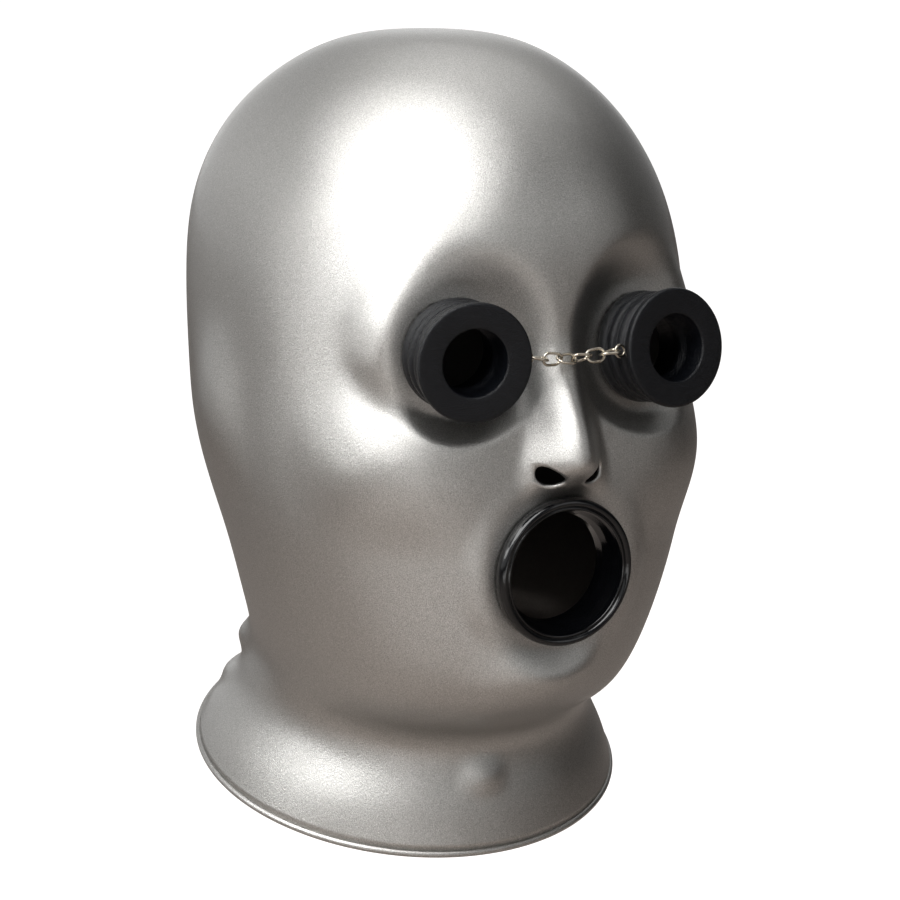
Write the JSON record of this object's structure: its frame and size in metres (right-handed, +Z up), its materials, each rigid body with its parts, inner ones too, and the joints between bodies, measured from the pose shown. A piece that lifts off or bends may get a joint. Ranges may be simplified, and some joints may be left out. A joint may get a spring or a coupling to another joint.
{
  "type": "latex hood",
  "caption": "Close-fitting silver latex hood with ribbed rubber eyepieces joined by a short chain, a mouth ring and nostril holes; worn over the whole head.",
  "frame": {"origin": "inside of the crown, where the hood rests on the top of the head", "axes": "+Z up, the face looks along -Y, the wearer's left is +X"},
  "size_m": [0.1658, 0.2005, 0.2791],
  "materials": {
    "silver_latex": "polished pearl silver with a fine metallic grain",
    "black_rubber": "matte, with slightly shiny worn edges",
    "gloss_rubber": "glossy",
    "bright_steel": "polished nickel plate"
  },
  "bodies": {
    "root": {"hood_shell": "silver_latex", "eyepiece_right": "black_rubber", "eyepiece_left": "black_rubber", "mouth_ring": "gloss_rubber", "chain_anchor_right": "bright_steel", "chain_anchor_left": "bright_steel", "chain_link_1": "bright_steel", "chain_link_2": "bright_steel", "chain_link_3": "bright_steel", "chain_link_4": "bright_steel", "chain_link_5": "bright_steel", "chain_link_6": "bright_steel"}
  },
  "joints": []
}
